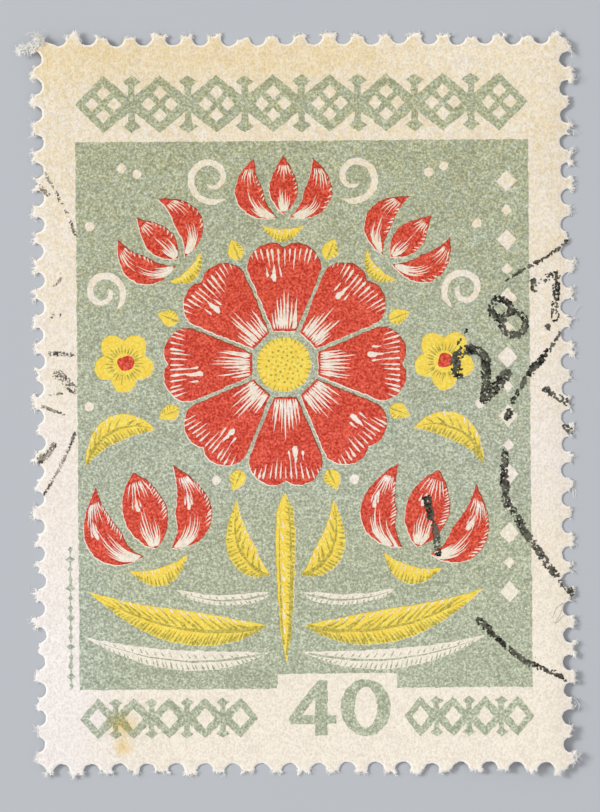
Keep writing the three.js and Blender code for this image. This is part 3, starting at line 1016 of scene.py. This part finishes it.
class Surface:
    """A matt material's nodes. Each call adds one node and gives its output. Lengths are in mm.

    Grain is stretch times longer in y than in x.
    """

    def __init__(self, name, roughness, stretch=1.0):
        self.stretch = stretch
        self.material = bpy.data.materials.new(name)
        self.material.use_nodes = True
        self.tree = self.material.node_tree
        self.shader = self.tree.nodes["Principled BSDF"]
        self.shader.inputs["Roughness"].default_value = roughness
        self.shader.inputs["Specular IOR Level"].default_value = 0.12
        place = self.add("TexCoord", "Object")
        self.place = self.add("VectorMath", 0, {0: place, "Scale": 1 / MM}, operation="SCALE")
        self.x = self.add("SeparateXYZ", "X", {0: self.place})
        self.y = self.add("SeparateXYZ", "Y", {0: self.place})

    def add(self, kind, output, inputs=None, **settings):
        node = self.tree.nodes.new("ShaderNode" + kind)
        for name, value in settings.items():
            setattr(node, name, value)
        for socket, value in (inputs or {}).items():
            if isinstance(value, bpy.types.NodeSocket):
                self.tree.links.new(value, node.inputs[socket])
            else:
                node.inputs[socket].default_value = value
        return node.outputs[output]

    def math(self, operation, a, b=0.0, c=0.0):
        return self.add("Math", 0, {0: a, 1: b, 2: c}, operation=operation)

    def shifted(self, seed):
        """The place, moved to a part of the noise that belongs to the seed."""
        offset = (seed * 13.7, seed * 7.3, seed * 3.1)
        inputs = {0: self.place, 1: (1, 1 / self.stretch, 1), 2: offset}
        return self.add("VectorMath", 0, inputs, operation="MULTIPLY_ADD")

    def noise(self, size, seed, detail=2.0, roughness=0.5):
        """Noise from 0 to 1 whose patches are about size across."""
        scale = 0.6 / size
        inputs = {"Vector": self.shifted(seed), "Scale": scale, "Detail": detail, "Roughness": roughness}
        return self.add("TexNoise", 0, inputs)

    def strands(self):
        """Fine crossing strands like a paper's fibres: 1 along each and 0 between them."""
        long_and_fine = (1.5, 16.0, 1.0)
        bent = self.add("TexNoise", "Color", {"Vector": self.place, "Scale": 1.6, "Detail": 1.0})
        warp = self.add("VectorMath", 0, {0: bent, "Scale": 0.5}, operation="SCALE")
        warped = self.add("VectorMath", 0, {0: self.place, 1: warp}, operation="ADD")
        total = 0.0
        for turn in (0.2, 1.1, 2.0, 2.8):
            turned = self.add("VectorRotate", 0, {"Vector": warped, "Angle": turn})
            drawn = self.add("VectorMath", 0, {0: turned, 1: long_and_fine}, operation="MULTIPLY")
            wave = self.add("TexNoise", 0, {"Vector": drawn, "Scale": 1.0, "Detail": 1.0})
            away = self.math("ABSOLUTE", self.math("SUBTRACT", wave, 0.5))
            total = self.math("MAXIMUM", total, self.between(away, 0.03, 0.0))
        return total

    def between(self, value, low, high, start=0.0, end=1.0, smooth=True):
        """value taken from low..high to start..end, and kept within them."""
        inputs = {0: value, 1: low, 2: high, 3: start, 4: end}
        kind = "SMOOTHSTEP" if smooth else "LINEAR"
        return self.add("MapRange", 0, inputs, interpolation_type=kind)

    def mix(self, share, one, other, blend="MIX"):
        inputs = {0: share, 6: one, 7: other}
        return self.add("Mix", 2, inputs, data_type="RGBA", blend_type=blend)

    def distance_to(self, x, y):
        across = self.math("SUBTRACT", self.x, x)
        up = self.math("SUBTRACT", self.y, y)
        squares = self.math("MULTIPLY_ADD", across, across, self.math("MULTIPLY", up, up))
        return self.math("SQRT", squares)

    def done(self, colour, relief=None, relief_depth=0.0):
        """The finished material. Its relief's depth is in mm."""
        self.tree.links.new(colour, self.shader.inputs["Base Color"])
        if relief is not None:
            inputs = {"Height": relief, "Distance": relief_depth * MM, "Strength": 1.0}
            self.tree.links.new(self.add("Bump", 0, inputs), self.shader.inputs["Normal"])
        return self.material


# Rusty spots: the centre's place, the radius and the strength.
RUST_SPOTS = [(-9.55, -16.7, 1.0, 0.7), (-9.5, -17.9, 0.7, 0.65)]


def toned(surface, colour):
    """The colour as age has left it, and a little darker and greyer towards the right edge."""

    def stained(share, red, green, blue):
        return surface.mix(share, colour, srgb(red, green, blue), "MULTIPLY")

    drift = surface.noise(2.2, seed=3.0, detail=3.0, roughness=0.6)
    wander = surface.math("MULTIPLY_ADD", drift, 2.4, -1.2)
    height = surface.math("ADD", surface.y, wander)
    across = surface.math("ADD", surface.x, wander)
    # A yellow band along the top, which fades to the right and at the teeth's tips.
    band = surface.between(height, HALF_HEIGHT - 3.4, HALF_HEIGHT - 1.2)
    tips = surface.between(surface.y, HALF_HEIGHT - 0.9, HALF_HEIGHT, 1.0, 0.6)
    fade = surface.between(surface.x, 2.0, 8.0, 1.0, 0.0)
    colour = stained(surface.math("MULTIPLY", surface.math("MULTIPLY", band, tips), fade), 254, 248, 232)
    # All over, more towards the top: an even tone and a grainy one.
    upper = surface.between(height, -12.5, 14.0, smooth=False)
    colour = stained(upper, 248, 246, 234)
    grain = surface.noise(0.14, seed=14.0, detail=2.0, roughness=0.6)
    grain = surface.math("MULTIPLY_ADD", surface.noise(0.8, seed=15.0), 0.3, grain)
    grainy = surface.math("MULTIPLY", surface.between(grain, 0.45, 0.85), upper)
    colour = stained(grainy, 251, 243, 220)
    # The lower part, but for its left margin, takes a faint yellow tone, and the paper turns a little
    # darker and greyer towards the right edge.
    lower = surface.between(height, -3.0, -8.0)
    colour = stained(surface.math("MULTIPLY", surface.between(across, -13.0, -8.0), lower), 253, 251, 239)
    colour = stained(surface.between(surface.x, HALF_WIDTH - 1.9, HALF_WIDTH - 0.4), 249, 248, 247)
    for x, y, size, strength in RUST_SPOTS:
        rough = surface.noise(0.55, seed=x - y, detail=3.0, roughness=0.6)
        rough = surface.math("MULTIPLY_ADD", rough, 0.9, -0.45)
        away = surface.math("ADD", surface.distance_to(x, y), rough)
        colour = stained(surface.between(away, size, 0.05 * size, 0.0, strength), 242, 213, 120)
    return colour


def speckle(surface, seed, fine, medium, coarse, cloud):
    """A share around a half that varies in grains, mottles and soft clouds."""
    total = 0.5
    for size, shift, amount in ((0.045, 1, fine), (0.075, 2, medium), (0.2, 3, coarse), (1.1, 4, cloud)):
        wave = surface.math("SUBTRACT", surface.noise(size, seed + shift, 1.0), 0.5)
        total = surface.math("MULTIPLY_ADD", wave, amount, total)
    return total


def paper():
    """Rough uncoated paper, paler where it is torn, with a painted highlight along all its cut edges."""
    surface = Surface("stamp_paper_surface", roughness=0.93, stretch=1.3)
    strands = surface.strands()
    share = speckle(surface, 11.0, fine=2.1, medium=2.0, coarse=0.6, cloud=0.3)
    share = surface.math("MULTIPLY_ADD", strands, 0.3, surface.math("SUBTRACT", share, 0.01))
    colour = surface.mix(share, srgb(233, 223, 218), srgb(255, 248, 243))
    colour = toned(surface, colour)
    # A few fine, dark flecks of unbleached fibre.
    fleck = surface.between(surface.noise(0.1, seed=21.0, detail=1.0), 0.77, 0.83, 0.0, 0.4)
    colour = surface.mix(fleck, colour, srgb(120, 105, 88))
    # Whiter towards the rim attribute: at the torn ends this is the paler fibre that tearing bares, and
    # along every cut edge, punched arcs too, it is a painted highlight.
    torn = surface.add("Attribute", "Fac", attribute_name=RIM)
    colour = surface.mix(surface.between(torn, 0.2, 1.0, 0.0, 0.5), colour, srgb(254, 252, 250))
    fine = surface.noise(0.09, seed=4.0, detail=3.0)
    relief = surface.math("ADD", fine, surface.noise(0.35, seed=6.0))
    relief = surface.math("MULTIPLY_ADD", strands, 0.5, relief)
    return surface.done(colour, relief, relief_depth=0.005)


def strand(name, roughness, seed, dark, light):
    surface = Surface(name, roughness)
    return surface.done(surface.mix(surface.noise(0.5, seed), dark, light))


def fibre():
    return strand("fibre_surface", 0.9, 9.0, srgb(244, 240, 232), srgb(254, 253, 250))


def hair():
    return strand("hair_surface", 0.6, 12.0, srgb(150, 138, 120), srgb(182, 170, 150))


def ink(name, dense, thin, seed, fleck_share):
    """Ink in rough paper, mottled from dense to thin, with light flecks of bare fibre."""
    surface = Surface(name, roughness=0.82)
    strands = surface.strands()
    share = speckle(surface, seed, fine=1.05, medium=1.7, coarse=0.32, cloud=0.18)
    share = surface.math("MULTIPLY_ADD", strands, 0.14, surface.math("SUBTRACT", share, 0.028))
    # A power above 1 leaves most of it dense, with a few thin grains.
    body = surface.mix(surface.math("POWER", share, 1.5), dense, thin)
    fleck = surface.between(surface.noise(0.06, seed + 5, detail=1.0), 0.64, 0.78, 0.0, fleck_share)
    body = toned(surface, surface.mix(fleck, body, srgb(232, 224, 206)))
    relief = surface.math("MULTIPLY_ADD", strands, 0.5, surface.noise(0.09, seed=4.0, detail=3.0))
    return surface.done(body, relief, relief_depth=0.004)


def sage_ink():
    return ink("sage_ink_surface", srgb(145, 153, 137), srgb(223, 231, 213), 31.0, 0.5)


def red_ink():
    return ink("red_ink_surface", srgb(185, 44, 33), srgb(255, 120, 100), 41.0, 0.15)


def yellow_ink():
    return ink("yellow_ink_surface", srgb(246, 207, 73), srgb(255, 243, 126), 51.0, 0.2)


def olive_ink():
    return ink("olive_ink_surface", srgb(160, 148, 58), srgb(235, 219, 118), 61.0, 0.4)


def dark_ink():
    return ink("dark_overprint_surface", srgb(119, 51, 37), srgb(195, 104, 79), 71.0, 0.2)


def stamped_ink(name, dense, thin, seed):
    """Ink from a rubber stamp: granular, and squeezed out to the rim of each patch."""
    surface = Surface(name, roughness=0.75)
    share = speckle(surface, seed, fine=0.6, medium=0.9, coarse=1.2, cloud=0.8)
    rim = surface.add("Attribute", "Fac", attribute_name=RIM)
    share = surface.math("ADD", share, surface.between(rim, 0.1, 0.9, 0.12, -0.06))
    return surface.done(surface.mix(surface.between(share, 0.25, 1.05), dense, thin))


def postmark_ink():
    return stamped_ink("postmark_ink_surface", srgb(20, 20, 18), srgb(110, 108, 95), 81.0)


def faint_ink():
    return stamped_ink("faint_postmark_surface", srgb(78, 74, 66), srgb(190, 182, 165), 91.0)


# ---- The room ----


def camera():
    """A long lens that looks straight down on the stamp, turned a little."""
    lens = 200
    sensor = 36
    view_height = 42.36
    centre = (-0.175, -0.121)
    turn = -0.28
    data = bpy.data.cameras.new("camera")
    data.lens = lens
    data.sensor_width = sensor
    body = placed("camera", data)
    body.location = Vector((*centre, view_height * lens / sensor)) * MM
    body.rotation_euler = (0, 0, math.radians(turn))
    bpy.context.scene.camera = body


def area_light(name, place, size, power):
    """A round lamp aimed at the stamp."""
    data = bpy.data.lights.new(name, "AREA")
    data.shape = "DISK"
    data.size = size * MM
    data.energy = power
    body = placed(name, data)
    body.location = Vector(place) * MM
    body.rotation_euler = (-body.location).to_track_quat("-Z", "Y").to_euler()


def lights():
    world = bpy.data.worlds.new("soft_light")
    world.use_nodes = True
    background = world.node_tree.nodes["Background"]
    background.inputs["Color"].default_value = (1, 1, 1, 1)
    background.inputs["Strength"].default_value = 0.585
    bpy.context.scene.world = world
    area_light("window", (-860, 260, 660), size=340, power=8.4)
    area_light("fill", (680, -240, 760), size=480, power=0.4)


def resting_place():
    """A plain pale floor just under the stamp."""
    reach = 600
    height = -0.02
    corners = [(-reach, -reach), (reach, -reach), (reach, reach), (-reach, reach)]
    mesh = bpy.data.meshes.new("floor")
    mesh.from_pydata([Vector((x, y, height)) * MM for x, y in corners], [], [(0, 1, 2, 3)])
    surface = Surface("floor_surface", roughness=0.9)
    colour = surface.mix(surface.noise(40, seed=2.0), srgb(186, 190, 196), srgb(190, 193, 198))
    mesh.materials.append(surface.done(colour))
    floor = placed("floor", mesh)
    floor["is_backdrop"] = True


bpy.context.scene.view_settings.view_transform = "Standard"
camera()
lights()
resting_place()
print_films()
stamp_paper = paper()
rim = sheet_rim()
depth = depth_within(rim)
paper_sheet(rim, depth, stamp_paper)
courses = torn_fibres(rim) + wads(COARSE_WADS, thickest=0.05) + wads(FINE_WADS, thickest=0.03)
fibres = threads("torn_fibres", courses, fibre())
threads("stray_hair", stray_hair(), hair())
postmark(depth)

boxes = {"cad": CAD_BOX, "visual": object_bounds()}
{name: [list(corner) for corner in box] for name, box in boxes.items()}
